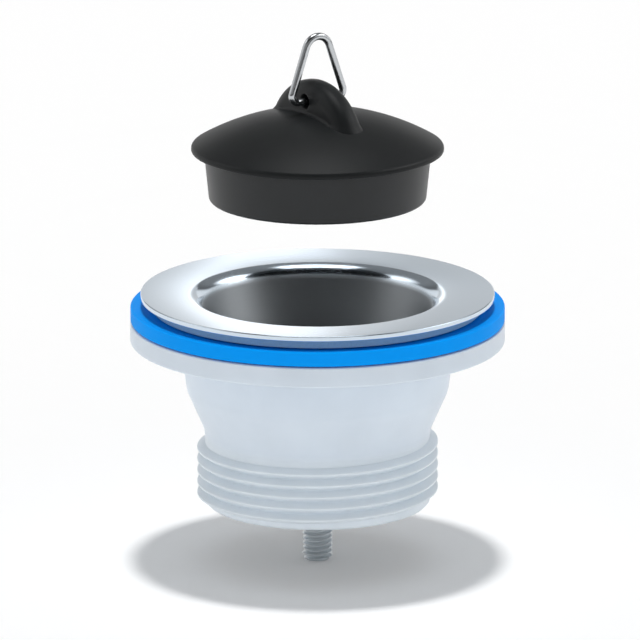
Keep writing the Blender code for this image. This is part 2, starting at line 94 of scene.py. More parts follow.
def substance(name):
    """A new material with its node tree, its shader, and the place on the object in metres."""
    material = bpy.data.materials.new(name)
    material.use_nodes = True
    tree = material.node_tree
    place = add(tree, "TexCoord").outputs["Object"]
    return material, tree, tree.nodes["Principled BSDF"], place


def append(form, other):
    """Move another form's mesh into a form."""
    mesh = bpy.data.meshes.new("part")
    other.to_mesh(mesh)
    other.free()
    form.from_mesh(mesh)
    bpy.data.meshes.remove(mesh)


def draw(chain, points, tip=None, closed=False, bend=BEND):
    """Draw edges through points of radius, height and rounding, and give the last one.

    A corner's rounding is how far from it the bend begins.
    """
    corners = [chain.verts.new((radius * MM, 0.0, height * MM)) for radius, height, _ in points]
    line = [tip] * bool(tip) + corners + corners[:1] * closed
    for pair in zip(line, line[1:]):
        chain.edges.new(pair)
    for corner, (_, _, rounding) in zip(corners, points):
        if rounding:
            bmesh.ops.bevel(
                chain, geom=[corner], offset=rounding * MM, offset_type="OFFSET", affect="VERTICES",
                segments=bend, profile=0.5, material=-1, clamp_overlap=True)
    return corners[-1]


def profile(points, closed=False, bend=BEND):
    """A chain of edges through points of radius, height and rounding."""
    chain = bmesh.new()
    draw(chain, points, closed=closed, bend=bend)
    return chain


def turn(form, chain, steps=ROUND, at=(0.0, 0.0)):
    """Spin a chain about the drain's axis, set it at a place, and move it into a form."""
    bmesh.ops.spin(
        chain, geom=chain.verts[:] + chain.edges[:], cent=(0.0, 0.0, 0.0), axis=(0.0, 0.0, 1.0),
        angle=math.tau, steps=steps, use_merge=True)
    bmesh.ops.remove_doubles(chain, verts=chain.verts[:], dist=SAME * MM)
    bmesh.ops.translate(chain, vec=(at[0] * MM, at[1] * MM, 0.0), verts=chain.verts[:])
    append(form, chain)


def thread(form, tooth, root, pitch, start, turns, runout, top, base, steps, start_angle=0.0):
    """Sweep a right-hand tooth down a helix, fade it at both ends, and cut it at top and base."""
    spare = math.ceil(max(top - start, start - turns * pitch - base) / pitch) + 1
    first = start + spare * pitch
    one_turn = profile([(radius, first + height, rounding) for radius, height, rounding in tooth], bend=2)
    bmesh.ops.rotate(one_turn, matrix=Matrix.Rotation(start_angle, 3, "Z"), verts=one_turn.verts[:])
    bmesh.ops.spin(
        one_turn, geom=one_turn.verts[:] + one_turn.edges[:], cent=(0.0, 0.0, 0.0), axis=(0.0, 0.0, 1.0),
        dvec=(0.0, 0.0, -pitch * MM / steps), angle=-math.tau, steps=steps)
    chain = bmesh.new()
    for _ in range(turns + 2 * spare):
        append(chain, one_turn.copy())
        bmesh.ops.translate(one_turn, vec=(0.0, 0.0, -pitch * MM), verts=one_turn.verts[:])
    one_turn.free()
    bmesh.ops.remove_doubles(chain, verts=chain.verts[:], dist=SAME * MM)
    for vertex in chain.verts:
        part_turn = (start_angle - math.atan2(vertex.co.y, vertex.co.x)) / math.tau % 1.0
        done = part_turn + round((start * MM - vertex.co.z) / (pitch * MM) - part_turn)
        share = min(max(min(done, turns - done) / runout, 0.0), 1.0)
        radius = vertex.co.xy.length
        vertex.co.xy *= (root * MM + max(radius - root * MM, 0.0) * share) / radius
    for height, side in ((top, 1.0), (base, -1.0)):
        bmesh.ops.bisect_plane(
            chain, geom=chain.verts[:] + chain.edges[:] + chain.faces[:], dist=0.0001 * MM,
            plane_co=(0.0, 0.0, height * MM), plane_no=(0.0, 0.0, side), clear_outer=True)
    append(form, chain)


def open_edges(form, low, high):
    """The open edges of a form between two heights."""
    return [
        edge for edge in form.edges if edge.is_boundary
        and all(low * MM < vertex.co.z < high * MM for vertex in edge.verts)]


def settle(form, name, material):
    """Make a form an object of the scene in one material."""
    mesh = bpy.data.meshes.new(name)
    form.to_mesh(mesh)
    form.free()
    mesh.materials.append(material)
    piece = bpy.data.objects.new(name, mesh)
    bpy.context.scene.collection.objects.link(piece)
    return piece


def finished(form, name, material, body, node, angle=32):
    """Close a form's seams, face it outwards, shade it, and let it stand for a node on its body."""
    bmesh.ops.remove_doubles(form, verts=form.verts[:], dist=SAME * MM)
    bmesh.ops.recalc_face_normals(form, faces=form.faces[:])
    piece = settle(form, name, material)
    piece.data.shade_smooth()
    piece.data.set_sharp_from_angle(angle=math.radians(angle))
    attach(piece, body)
    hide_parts(node)
    return piece


# Natural polypropylene, injection moulded: milky, slightly see-through, satin from the mould's face,
# with a slow clouding where the melt flowed. Its colour is painted paler down the spigot, as painted light
# against the shade that falls there low by the floor.
polypropylene, tree, shader, place = substance("natural_polypropylene_moulded")
cloud = add(tree, "TexNoise", {"Vector": place, "Scale": 90.0, "Detail": 3.0, "Roughness": 0.5})
grain = add(tree, "TexNoise", {"Vector": place, "Scale": 2200.0, "Detail": 2.0, "Roughness": 0.6})
satin = add(tree, "MapRange", {"Value": grain.outputs["Fac"], "To Min": 0.36, "To Max": 0.48})
relief = add(tree, "Bump", {"Height": grain.outputs["Fac"], "Strength": 0.12, "Distance": 0.02 * MM})
drop = add(tree, "SeparateXYZ", {"Vector": place}).outputs["Z"]
# Painted light: the colour turns paler from the neck down to the thread's start, against the shade there.
painted_light_down_spigot = add(tree, "MapRange", {"Value": drop, "From Min": NECK_TOP * MM, "From Max": PIPE_START * MM})
body_tone, spigot_painted_light_tone = [
    add(tree, "ValToRGB", {"Fac": cloud.outputs["Fac"]}, ((0.3, colour(dark)), (0.7, colour(pale))))
    for dark, pale in (("#D2DCE6", "#D8E2EC"), ("#DAE3EA", "#E1E9F0"))]
tone = add(tree, "Mix", {
    "Factor": painted_light_down_spigot.outputs["Result"], 6: body_tone.outputs["Color"], 7: spigot_painted_light_tone.outputs["Color"]},
    data_type="RGBA")
give(tree, shader, {
    "Base Color": tone.outputs[2], "Roughness": satin.outputs["Result"], "Normal": relief.outputs["Normal"],
    "IOR": 1.49, "Specular IOR Level": 0.3,
    "Subsurface Weight": 0.25, "Subsurface Radius": (1.0, 1.0, 1.0), "Subsurface Scale": 1.5 * MM})

shell = bmesh.new()
turn(shell, profile([
    (NECK_RADIUS, NECK_END + SEAM, 0.0), (NECK_RADIUS, NECK_TOP, 0.9), (CUP_BASE_RADIUS, CUP_BASE, 0.7),
    (CUP_RADIUS, FLANGE_BASE, 0.5), (FLANGE_RADIUS, FLANGE_BASE, 0.4), (FLANGE_RADIUS, FLANGE_TOP, 0.4),
    (CUP_BORE, FLANGE_TOP, 0.3), (CUP_BASE_BORE, CUP_BASE, 0.5), (SPIGOT_BORE, NECK_TOP, 0.8),
    (SPIGOT_BORE, BODY_END, 0.3), (PIPE_ROOT - PIPE_CHAMFER, BODY_END, 0.0)]))
thread(shell, [
    (PIPE_ROOT, PIPE_HALF_TOOTH, 0.0), (PIPE_CREST, PIPE_HALF_CREST, 0.1),
    (PIPE_CREST, -PIPE_HALF_CREST, 0.1), (PIPE_ROOT, -PIPE_HALF_TOOTH, 0.0),
    (PIPE_ROOT, PIPE_HALF_TOOTH - PIPE_PITCH, 0.0)],
    PIPE_ROOT, PIPE_PITCH, PIPE_START, PIPE_TURNS, PIPE_RUNOUT, NECK_END, BODY_END + PIPE_CHAMFER, ROUND,
    PIPE_START_ANGLE)
for low, high in ((NECK_END, NECK_END + SEAM), (BODY_END, BODY_END + PIPE_CHAMFER)):
    bmesh.ops.bridge_loops(shell, edges=open_edges(shell, low - SEAM / 2, high + SEAM / 2))
finished(shell, "outlet_moulding", polypropylene, "outlet", "outlet_body")


def ring(form, radius, height, facets):
    """The edges of a new circle in a form."""
    corners = bmesh.ops.create_circle(
        form, segments=facets, radius=radius * MM,
        matrix=Matrix.Translation((0.0, 0.0, height * MM)))["verts"]
    return [edge for edge in form.edges if edge.verts[0] in corners]


def only(kind, made):
    """Those of an operator's results that are of one kind."""
    return [item for item in made if isinstance(item, kind)]


def rise(form, edges, height):
    """Draw edges up into a wall, and give the wall's upper edges."""
    made = bmesh.ops.extrude_edge_only(form, edges=edges)["geom"]
    bmesh.ops.translate(form, vec=(0.0, 0.0, height * MM), verts=only(BMVert, made))
    return only(BMEdge, made)


spider = bmesh.new()
outer = ring(spider, BOSS_RADIUS, BOSS_BASE, ROUND // 2)
pocket = ring(spider, POCKET_RADIUS, BOSS_BASE, 6)
bmesh.ops.triangle_fill(spider, edges=outer + pocket, use_beauty=True)
pocket = rise(spider, pocket, POCKET_TOP - BOSS_BASE)
way = ring(spider, SCREW_WAY, POCKET_TOP, ROUND // 3)
bmesh.ops.triangle_fill(spider, edges=pocket + way, use_beauty=True)
way = rise(spider, way, BOSS_TOP - POCKET_TOP)
outer = rise(spider, outer, BOSS_TOP - BOSS_BASE)
bmesh.ops.triangle_fill(spider, edges=outer + way, use_beauty=True)
near, far = BOSS_RADIUS - RIB_SUNK, SPIGOT_BORE + RIB_SUNK
rib_place = Matrix.Translation(Vector(((near + far) / 2, 0.0, (RIB_BASE + RIB_TOP) / 2)) * MM)
rib_size = Matrix.Diagonal(((far - near) * MM, RIB_THICKNESS * MM, (RIB_TOP - RIB_BASE) * MM, 1.0))
for number in range(RIBS):
    rib = bmesh.new()
    heading = Matrix.Rotation(math.tau * number / RIBS, 4, "Z")
    bmesh.ops.create_cube(rib, size=1.0, matrix=heading @ rib_place @ rib_size)
    bmesh.ops.bevel(
        rib, geom=rib.edges[:], offset=RIB_EDGE * MM, offset_type="OFFSET", affect="EDGES", segments=3,
        profile=0.5, material=-1)
    append(spider, rib)
finished(spider, "outlet_spider", polypropylene, "outlet", "outlet_body")

# CAPTIVE NUT
# A machined brass M6 nut, ten millimetres across its flats, pressed up into the boss's pocket.
# A six-sided prism, bored through, with every edge eased.

NUT_CORNERS, NUT_BASE, NUT_TOP, NUT_BORE, NUT_EDGE = 5.7735, -38.6, -33.6, 3.25, 0.25

# Brass, turned and faced: fine circular tool lines about a tenth of a millimetre apart.
brass, tree, shader, place = substance("brass_turned")
axes = add(tree, "SeparateXYZ", {"Vector": place}).outputs
flat = add(tree, "CombineXYZ", {"X": axes["X"], "Y": axes["Y"]}).outputs["Vector"]
radius = add(tree, "VectorMath", {"Vector": flat}, operation="LENGTH").outputs["Value"]
lines = add(tree, "TexNoise", {"W": radius, "Scale": 9000.0, "Detail": 2.0}, noise_dimensions="1D")
relief = add(tree, "Bump", {"Height": lines.outputs["Fac"], "Strength": 0.25, "Distance": 0.01 * MM})
dull = add(tree, "MapRange", {"Value": lines.outputs["Fac"], "To Min": 0.22, "To Max": 0.36})
give(tree, shader, {
    "Base Color": colour("#D8B36A"), "Metallic": 1.0,
    "Roughness": dull.outputs["Result"], "Normal": relief.outputs["Normal"]})

nut = bmesh.new()
rims = ring(nut, NUT_CORNERS, NUT_BASE, 6) + ring(nut, NUT_BORE, NUT_BASE, ROUND // 3)
bmesh.ops.triangle_fill(nut, edges=rims, use_beauty=True)
upper = rise(nut, rims, NUT_TOP - NUT_BASE)
bmesh.ops.triangle_fill(nut, edges=upper, use_beauty=True)
bmesh.ops.bevel(
    nut, geom=rims + upper, offset=NUT_EDGE * MM, offset_type="OFFSET", affect="EDGES", segments=2,
    profile=0.5, material=-1, clamp_overlap=True)
finished(nut, "hex_nut", brass, "outlet", "captive_nut", 20)

# RIM GASKET
# The sealing ring between the sink's underside and the body's flange: moulded blue rubber with a
# flat seat and an upturned outer lip. Turned from its section.

GASKET_BORE, GASKET_RADIUS, GASKET_BASE = 25.0, 37.0, -4.54
GASKET_SEAT, GASKET_SEAT_RADIUS, GASKET_LIP = -2.3, 33.2, -1.63

# Blue rubber, compression moulded: even, low sheen, with a faint bloom.
blue_rubber, tree, shader, place = substance("blue_rubber_moulded")
bloom = add(tree, "TexNoise", {"Vector": place, "Scale": 160.0, "Detail": 4.0, "Roughness": 0.6})
grain = add(tree, "TexNoise", {"Vector": place, "Scale": 3000.0, "Detail": 3.0, "Roughness": 0.7})
tone = add(tree, "ValToRGB", {"Fac": bloom.outputs["Fac"]}, (
    (0.3, colour("#0099FA")), (0.75, colour("#009DFF"))))
relief = add(tree, "Bump", {"Height": grain.outputs["Fac"], "Strength": 0.25, "Distance": 0.02 * MM})
dull = add(tree, "MapRange", {"Value": bloom.outputs["Fac"], "To Min": 0.50, "To Max": 0.66})
give(tree, shader, {
    "Base Color": tone.outputs["Color"], "Roughness": dull.outputs["Result"],
    "Normal": relief.outputs["Normal"], "IOR": 1.5, "Specular IOR Level": 0.06})

gasket = bmesh.new()
turn(gasket, profile([
    (GASKET_BORE, GASKET_SEAT, 0.2), (GASKET_SEAT_RADIUS, GASKET_SEAT, 0.3), (GASKET_RADIUS, GASKET_LIP, 0.3),
    (GASKET_RADIUS, GASKET_BASE, 0.25), (GASKET_BORE, GASKET_BASE, 0.2)], closed=True))
finished(gasket, "blue_gasket", blue_rubber, "outlet", "rim_gasket")

# TOP SEAL
# The soft ring between the steel rim and the sink's upper side, cut from light blue-grey closed-cell
# foam. Its upper face follows the fall of the rim.

SEAL_BORE, SEAL_RADIUS, SEAL_BASE, SEAL_INNER_TOP, SEAL_OUTER_TOP = 26.2, 32.8, -2.0, -0.34, -0.04

# Closed-cell foam, sliced: matt, with pores about a third of a millimetre across.
foam, tree, shader, place = substance("closed_cell_foam_sliced")
pores = add(tree, "TexVoronoi", {"Vector": place, "Scale": 3000.0}).outputs["Distance"]
tone = add(tree, "ValToRGB", {"Fac": pores}, ((0.0, colour("#8CB0C8")), (0.6, colour("#98BBD0"))))
relief = add(tree, "Bump", {"Height": pores, "Strength": 0.4, "Distance": 0.05 * MM})
give(tree, shader, {
    "Base Color": tone.outputs["Color"], "Normal": relief.outputs["Normal"],
    "Roughness": 0.9, "Specular IOR Level": 0.2})

seal = bmesh.new()
turn(seal, profile([
    (SEAL_BORE, SEAL_INNER_TOP, 0.15), (SEAL_RADIUS, SEAL_OUTER_TOP, 0.25), (SEAL_RADIUS, SEAL_BASE, 0.25),
    (SEAL_BORE, SEAL_BASE, 0.15)], closed=True))
finished(seal, "foam_seal", foam, "dish", "top_seal")

# STRAINER DISH
# Stainless sheet, 0.6 thick, pressed into a rim that turns down at its edge, a rounded shoulder and a
# slightly tapered bowl, then punched with eight drain holes and a dimple for the screw's head, and
# polished. Both faces are turned from one outline, and the bowl's floor is filled round the holes.

SHEET, FLOOR, FLOOR_RADIUS = 0.6, -19.2, 18.3
RIM_RADIUS, RIM_TOP, RIM_UNDER, RIM_EDGE = 35.0, 0.96, 0.33, 0.12
SHOULDER_RADIUS, SHOULDER_TOP, SHOULDER_UNDER = 22.8, 0.4, -0.17
SHOULDER_ROUNDING, SHOULDER_UNDER_ROUNDING = 2.87, 2.3
BOWL_RADIUS, BOWL_ROUNDING, BOWL_BEND = 21.2, 2.7, 12
DIMPLE_EDGE, DIMPLE_RADIUS, DIMPLE_FOOT, DIMPLE_END = 6.9, 5.994, 3.55, -21.644
DIMPLE_UNDER_RADIUS, DIMPLE_UNDER_FOOT, DIMPLE_UNDER_END = 6.242, 3.97, -22.07
DRAINS, DRAIN_CIRCLE, DRAIN_RADIUS, DRAIN_EDGE, DRAIN_COLLAR, DRAIN_FACETS = 8, 12.8, 2.5, 0.12, 0.35, 40
POLISH_AND_SHADE_TOP, POLISH_AND_SHADE_END = -0.7, -2.2

# Stainless steel, polished while it spins: mirror bright on the rim and shoulder, and satin down the
# bowl, where the mop reaches less. Down the bowl its colour is also painted darker and greyer, as painted
# shade inside the hollow. Its fine rings spread each reflection across them.
steel, tree, shader, place = substance("stainless_steel_polished")
axes = add(tree, "SeparateXYZ", {"Vector": place}).outputs
flat = add(tree, "CombineXYZ", {"X": axes["X"], "Y": axes["Y"]}).outputs["Vector"]
radius = add(tree, "VectorMath", {"Vector": flat}, operation="LENGTH").outputs["Value"]
heading = add(tree, "VectorMath", {"Vector": flat}, operation="NORMALIZE").outputs["Vector"]
across = add(tree, "Math", {0: radius, 1: axes["Z"]}, operation="SUBTRACT").outputs["Value"]
travel = add(tree, "CombineXYZ", {"Z": across}).outputs["Vector"]
swirl = add(tree, "VectorMath", {0: heading, 1: (0.6 * MM,) * 3, 2: travel}, operation="MULTIPLY_ADD")
mop = add(tree, "TexNoise", {
    "Vector": swirl.outputs["Vector"], "Scale": 3500.0, "Detail": 4.0, "Roughness": 0.6}).outputs["Fac"]
relief = add(tree, "Bump", {"Height": mop, "Strength": 0.05, "Distance": 0.01 * MM})
bright = add(tree, "MapRange", {"Value": mop, "To Min": 0.10, "To Max": 0.15}).outputs["Result"]
satin = add(tree, "MapRange", {"Value": mop, "To Min": 0.55, "To Max": 0.65}).outputs["Result"]
satin_and_painted_shade = add(tree, "MapRange", {
    "Value": axes["Z"], "From Min": POLISH_AND_SHADE_TOP * MM, "From Max": POLISH_AND_SHADE_END * MM},
    interpolation_type="SMOOTHSTEP").outputs["Result"]
gloss = add(tree, "Mix", {"Factor": satin_and_painted_shade, "A": bright, "B": satin})
# Painted shade: the colour turns darker and greyer down the bowl, over the same span as the satin.
tone = add(tree, "Mix", {"Factor": satin_and_painted_shade, 6: colour("#D3DFEA"), 7: colour("#C8CDD1")}, data_type="RGBA")
rings = add(tree, "Tangent", direction_type="RADIAL", axis="Z")
give(tree, shader, {
    "Base Color": tone.outputs[2], "Metallic": 1.0, "Roughness": gloss.outputs["Result"],
    "Normal": relief.outputs["Normal"], "Tangent": rings.outputs["Tangent"],
    "Anisotropic": 0.95, "Anisotropic Rotation": 0.25})

dish = bmesh.new()
turn(dish, profile([
    (FLOOR_RADIUS, FLOOR, 0.0), (BOWL_RADIUS, FLOOR, BOWL_ROUNDING),
    (SHOULDER_RADIUS, SHOULDER_TOP, SHOULDER_ROUNDING), (RIM_RADIUS, RIM_TOP, 0.2),
    (RIM_RADIUS, 0.0, RIM_EDGE), (RIM_RADIUS - SHEET, 0.0, RIM_EDGE), (RIM_RADIUS - SHEET, RIM_UNDER, 0.1),
    (SHOULDER_RADIUS + SHEET, SHOULDER_UNDER, SHOULDER_UNDER_ROUNDING),
    (BOWL_RADIUS + SHEET, FLOOR - SHEET, BOWL_ROUNDING + SHEET), (FLOOR_RADIUS, FLOOR - SHEET, 0.0)],
    bend=BOWL_BEND))
turn(dish, profile([
    (DIMPLE_EDGE, FLOOR, 0.0), (DIMPLE_RADIUS, FLOOR, 0.4), (DIMPLE_FOOT, DIMPLE_END, 0.1),
    (DIMPLE_UNDER_FOOT, DIMPLE_UNDER_END, 0.1), (DIMPLE_UNDER_RADIUS, FLOOR - SHEET, 0.4),
    (DIMPLE_EDGE, FLOOR - SHEET, 0.0)]))
for drain in range(DRAINS):
    angle = math.tau * (drain + 0.5) / DRAINS
    turn(dish, profile([
        (DRAIN_RADIUS + DRAIN_COLLAR, FLOOR, 0.0), (DRAIN_RADIUS, FLOOR, DRAIN_EDGE),
        (DRAIN_RADIUS, FLOOR - SHEET, DRAIN_EDGE),
        (DRAIN_RADIUS + DRAIN_COLLAR, FLOOR - SHEET, 0.0)], bend=3),
        DRAIN_FACETS, (DRAIN_CIRCLE * math.cos(angle), DRAIN_CIRCLE * math.sin(angle)))
for level in (FLOOR, FLOOR - SHEET):
    bmesh.ops.triangle_fill(dish, edges=open_edges(dish, level - SEAM, level + SEAM), use_beauty=True)
finished(dish, "steel_dish", steel, "dish", "strainer_dish")

# CENTRE SCREW
# A stainless M6 x 35 machine screw with a slotted, raised countersunk head, threaded to the head.
# The head is turned and its slot cut by three planes; the rolled thread is a tooth down a helix.

SCREW_TOP, SCREW_END, SCREW_FACETS = -18.87, -53.87, 48
HEAD_RADIUS, HEAD_RAISE, HEAD_EDGE, HEAD_CROWN = 5.65, 0.6, 0.25, 2.6
SCREW_CREST, SCREW_ROOT, SCREW_PITCH, SCREW_TURNS, SCREW_RUNOUT = 2.95, 2.4, 1.0, 31, 0.8
SCREW_HALF_TOOTH, SCREW_HALF_CREST = 0.38, 0.0625
SHANK_TOP = SCREW_TOP - HEAD_EDGE - (HEAD_RADIUS - SCREW_CREST)
THREAD_TOP, POINT, POINT_SHARE = SHANK_TOP - 0.6, 0.2, 0.9
SLOT_HALF, SLOT_DEPTH = 0.8, 1.6
SLOT_FLOOR = SCREW_TOP + HEAD_RAISE - SLOT_DEPTH

# Stainless screw steel, thread rolled and left as it came: satin, duller than the dish.
screw_steel, tree, shader, place = substance("stainless_steel_rolled")
grain = add(tree, "TexNoise", {"Vector": place, "Scale": 1800.0, "Detail": 4.0, "Roughness": 0.6})
dull = add(tree, "MapRange", {"Value": grain.outputs["Fac"], "To Min": 0.24, "To Max": 0.38})
relief = add(tree, "Bump", {"Height": grain.outputs["Fac"], "Strength": 0.2, "Distance": 0.01 * MM})
give(tree, shader, {
    "Base Color": colour("#D2D8DC"), "Metallic": 1.0,
    "Roughness": dull.outputs["Result"], "Normal": relief.outputs["Normal"]})

screw = bmesh.new()
turn(screw, profile([
    (0.0, SCREW_TOP + HEAD_RAISE, 0.0), (HEAD_CROWN, SCREW_TOP + HEAD_RAISE, 2.5),
    (HEAD_RADIUS, SCREW_TOP, 0.15), (HEAD_RADIUS, SCREW_TOP - HEAD_EDGE, 0.1),
    (SCREW_CREST, SHANK_TOP, 0.2), (SCREW_ROOT, THREAD_TOP, 0.0)]), ROUND // 2)
for at, facing in (
        ((0.0, -SLOT_HALF, 0.0), (0.0, 1.0, 0.0)), ((0.0, SLOT_HALF, 0.0), (0.0, 1.0, 0.0)),
        ((0.0, 0.0, SLOT_FLOOR), (0.0, 0.0, 1.0))):
    bmesh.ops.bisect_plane(
        screw, geom=screw.verts[:] + screw.edges[:] + screw.faces[:], dist=0.0005 * MM,
        plane_co=Vector(at) * MM, plane_no=facing)
bmesh.ops.delete(screw, context="FACES", geom=[
    face for face in screw.faces if abs(face.calc_center_median().y) < SLOT_HALF * MM
    and face.calc_center_median().z > SLOT_FLOOR * MM])
rims = open_edges(screw, SLOT_FLOOR - SAME, SCREW_TOP + HEAD_RAISE + SAME)
for side in (-SLOT_HALF, SLOT_HALF):
    wall = [
        edge for edge in rims
        if all(abs(vertex.co.y - side * MM) < SAME / 2 * MM for vertex in edge.verts)]
    corners = [vertex for edge in wall for vertex in edge.verts if vertex.co.z < (SLOT_FLOOR + SAME / 2) * MM]
    foot = screw.edges.new(corners)
    bmesh.ops.contextual_create(screw, geom=wall + [foot])
bmesh.ops.holes_fill(screw, edges=open_edges(screw, SLOT_FLOOR - SAME / 2, SLOT_FLOOR + SAME / 2))
thread(screw, [
    (SCREW_ROOT, SCREW_HALF_TOOTH, 0.0), (SCREW_CREST, SCREW_HALF_CREST, 0.04),
    (SCREW_CREST, -SCREW_HALF_CREST, 0.04), (SCREW_ROOT, -SCREW_HALF_TOOTH, 0.0),
    (SCREW_ROOT, SCREW_HALF_TOOTH - SCREW_PITCH, 0.0)],
    SCREW_ROOT, SCREW_PITCH, SCREW_END + SCREW_TURNS * SCREW_PITCH, SCREW_TURNS, SCREW_RUNOUT,
    THREAD_TOP - SEAM, SCREW_END + POINT, SCREW_FACETS)
bmesh.ops.bridge_loops(screw, edges=open_edges(screw, THREAD_TOP - 1.5 * SEAM, THREAD_TOP + SEAM / 2))
made = bmesh.ops.extrude_edge_only(screw, edges=open_edges(screw, SCREW_END, SCREW_END + 2 * POINT))["geom"]
bmesh.ops.scale(screw, vec=(POINT_SHARE, POINT_SHARE, 1.0), verts=only(BMVert, made))
bmesh.ops.translate(screw, vec=(0.0, 0.0, -POINT * MM), verts=only(BMVert, made))
bmesh.ops.holes_fill(screw, edges=only(BMEdge, made))
finished(screw, "clamp_screw", screw_steel, "screw", "centre_screw", 40)

# PLUG
# One moulding in black rubber: a shallow spherical dome with a thin brim, a tapered skirt and a
# hollow underside, and on top a full-round lug with a cross hole, blended into the dome.
# The dome's arcs are spun from a point; the lug's side is a loft of rings round its hole.

PLUG_LEVEL = 30.204
DOME_BEND, DOME_CENTRE, ROOF_BEND = 48.0, -40.527, 44.0
DOME_STEPS, BRIM_STEPS, ROOF_STEPS = 36, 5, 16
BRIM_CENTRE, BRIM_EDGE, BRIM_DROP = 24.0, 0.9, 0.5
SKIRT_TOP, SKIRT_END, SKIRT_DROP, HOLLOW = 22.38, 21.39, -10.4, 17.79
LUG_BEND, LUG_HALF, LUG_ROUNDING = 15.0, 3.0, 2.8
LUG_CENTRE, LUG_FOOT, LUG_BLEND = -1.3465, 4.3035, 0.5
EYE_HEIGHT, EYE_RADIUS, EYE_EDGE = 9.7035, 1.4, 0.3
EYE_STEPS, SIDE_STEPS = 4, 36


def black_rubber(name, dark, pale, sheen):
    """Black rubber, compression moulded: near black, with a fine dry bloom and a soft sheen."""
    material, tree, shader, place = substance(name)
    bloom = add(tree, "TexNoise", {"Vector": place, "Scale": 120.0, "Detail": 5.0, "Roughness": 0.6})
    grain = add(tree, "TexNoise", {"Vector": place, "Scale": 2600.0, "Detail": 3.0, "Roughness": 0.65})
    tone = add(tree, "ValToRGB", {"Fac": bloom.outputs["Fac"]}, ((0.35, colour(dark)), (0.75, colour(pale))))
    relief = add(tree, "Bump", {"Height": grain.outputs["Fac"], "Strength": 0.2, "Distance": 0.02 * MM})
    dull = add(tree, "MapRange", {"Value": bloom.outputs["Fac"], "To Min": 0.38, "To Max": 0.46})
    give(tree, shader, {
        "Base Color": tone.outputs["Color"], "Roughness": dull.outputs["Result"],
        "Normal": relief.outputs["Normal"], "IOR": 1.5, "Specular IOR Level": sheen})
    return material


# The dome and lug come from a finely etched mould and are matt; the sealing skirt is moulded smooth.
# The two are also lit and shaded copies in colour: the skirt is painted lighter, as painted light on its
# sides, and the dome and lug are painted darker, as painted shade.
matt_shaded_rubber = black_rubber("black_rubber_etched", "#17191A", "#1B1D1E", 0.18)
smooth_lit_rubber = black_rubber("black_rubber_smooth", "#222425", "#26282A", 0.32)


def bow(chain, tip, centre, degrees, steps):
    """Carry a chain's tip round a centre, and give the new tip."""
    made = bmesh.ops.spin(
        chain, geom=[tip], cent=(centre[0] * MM, 0.0, centre[1] * MM), axis=(0.0, 1.0, 0.0),
        angle=math.radians(degrees), steps=steps)["geom_last"]
    return only(BMVert, made)[0]


crown = bmesh.new()
lean = math.degrees(math.asin(BRIM_CENTRE / (DOME_BEND - BRIM_EDGE)))
roof_lean = math.asin(HOLLOW / ROOF_BEND)
tip = crown.verts.new((0.0, 0.0, (DOME_CENTRE + DOME_BEND) * MM))
tip = bow(crown, tip, (0.0, DOME_CENTRE), lean, DOME_STEPS)
tip = bow(crown, tip, (BRIM_CENTRE, 0.0), 90 - lean, BRIM_STEPS)
tip = draw(crown, [
    (BRIM_CENTRE + BRIM_EDGE, -BRIM_DROP, 0.35), (SKIRT_TOP, -BRIM_DROP, 0.35), (SKIRT_END, SKIRT_DROP, 0.7),
    (HOLLOW, SKIRT_DROP, 0.5), (HOLLOW, DOME_CENTRE + ROOF_BEND * math.cos(roof_lean), 0.0)], tip)
bow(crown, tip, (0.0, DOME_CENTRE), -math.degrees(roof_lean), ROOF_STEPS)
bmesh.ops.translate(crown, vec=(0.0, 0.0, PLUG_LEVEL * MM), verts=crown.verts[:])
stopper = bmesh.new()
turn(stopper, crown)
plug = finished(stopper, "rubber_plug", matt_shaded_rubber, "plug", "plug")
plug.data.materials.append(smooth_lit_rubber)
for face in plug.data.polygons:
    below_brim = face.center.z < (PLUG_LEVEL - BRIM_DROP) * MM
    face.material_index = int(below_brim and face.center.xy.length > HOLLOW * MM)

lug = bmesh.new()
eye = Vector((0.0, 0.0, EYE_HEIGHT)) * MM
bend_centre = Vector((0.0, 0.0, LUG_CENTRE)) * MM
bmesh.ops.create_circle(
    lug, segments=ROUND, radius=EYE_RADIUS * MM,
    matrix=Matrix.Translation(eye) @ Matrix.Rotation(math.pi / 2, 4, "Y"))
edges = lug.edges[:]
for step in range(EYE_STEPS + SIDE_STEPS + 2):
    made = bmesh.ops.extrude_edge_only(lug, edges=edges)["geom"]
    edges = only(BMEdge, made)
    for vertex in only(BMVert, made):
        heading = Vector((0.0, vertex.co.y, vertex.co.z - eye.z)).normalized()
        drop = (EYE_HEIGHT - LUG_CENTRE) * heading.z
        reach = -drop + math.sqrt(drop ** 2 - (EYE_HEIGHT - LUG_CENTRE) ** 2 + LUG_BEND ** 2)
        if heading.z < 0.0:
            reach = min(reach, (EYE_HEIGHT - LUG_FOOT) / -heading.z)
        if step <= EYE_STEPS:
            part = math.radians(90 * step / EYE_STEPS)
            out = EYE_RADIUS + EYE_EDGE * (1 - math.cos(part))
            width = LUG_HALF - EYE_EDGE * (1 - math.sin(part))
        else:
            share = 1 - (1 - min((step - EYE_STEPS) / SIDE_STEPS, 1.0)) ** 2
            out = EYE_RADIUS + EYE_EDGE + (reach - EYE_RADIUS - EYE_EDGE) * share
            width = LUG_HALF
        vertex.co = eye + heading * out * MM
        past = (vertex.co - bend_centre).length / MM - LUG_BEND + LUG_ROUNDING
        if past > 0.0:
            width += math.sqrt(max(LUG_ROUNDING ** 2 - past ** 2, 0.0)) - LUG_ROUNDING
        vertex.co.x = width * MM if step <= EYE_STEPS + SIDE_STEPS else 0.0
bmesh.ops.mirror(
    lug, geom=lug.verts[:] + lug.edges[:] + lug.faces[:], axis="X", merge_dist=SAME / 2 * MM)
bmesh.ops.remove_doubles(lug, verts=lug.verts[:], dist=SAME / 2 * MM)
bmesh.ops.recalc_face_normals(lug, faces=lug.faces[:])
lug.normal_update()
